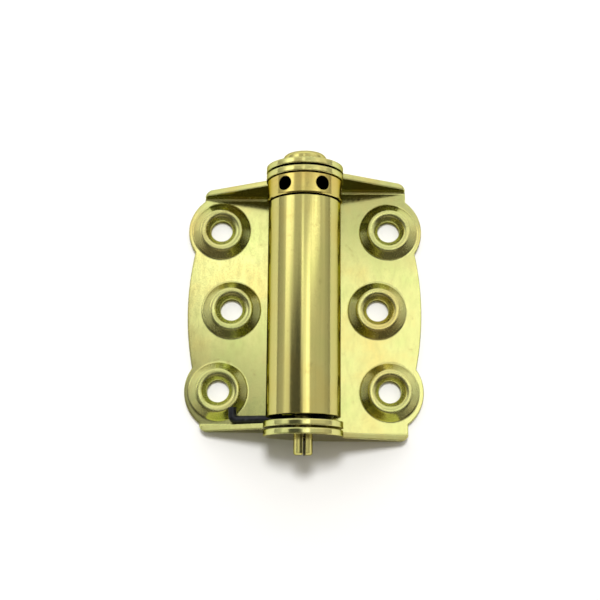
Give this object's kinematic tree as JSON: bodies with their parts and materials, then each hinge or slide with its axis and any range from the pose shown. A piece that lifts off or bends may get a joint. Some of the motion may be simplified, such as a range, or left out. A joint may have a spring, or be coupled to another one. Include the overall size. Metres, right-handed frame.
{
  "type": "spring hinge",
  "caption": "Surface-mounted spring hinge: stamped leaves with raised countersunk screw bosses, a tubular spring barrel on a headed pin and a tension collar with peg holes.",
  "frame": {"origin": "on the mounting plane, at the middle of the footprint, straight behind the pin axis", "axes": "+Z out of the mounting face toward the barrel, +Y along the pin toward its head, +X toward the door leaf"},
  "size_m": [0.0642, 0.0788, 0.0259],
  "materials": {
    "door_leaf": "yellow zinc plated steel sheet",
    "frame_leaf": "yellow zinc plated steel sheet",
    "hinge_pin": "yellow zinc plated turned steel",
    "barrel_sleeve": "yellow zinc plated rolled tube",
    "tension_collar": "yellow zinc plated turned steel",
    "torsion_spring": "black oil-tempered spring wire"
  },
  "bodies": {
    "frame": {"frame_leaf": "frame_leaf", "hinge_pin": "hinge_pin", "barrel_sleeve": "barrel_sleeve", "torsion_spring": "torsion_spring"},
    "door": {"door_leaf": "door_leaf"},
    "collar": {"tension_collar": "tension_collar"}
  },
  "joints": [
    {"name": "leaf_swing", "type": "hinge", "parent": "frame", "child": "door", "pos_m": [0, 0, 0.0158], "axis": [0, -1, 0], "range_deg": [0, 180], "stiffness_Nm_per_rad": 0.27, "springref_deg": -28.65},
    {"name": "collar_wind", "type": "hinge", "parent": "frame", "child": "collar", "pos_m": [0, 0, 0.0158], "axis": [0, -1, 0], "range_deg": [0, 180], "stiffness_Nm_per_rad": 0.27}
  ]
}
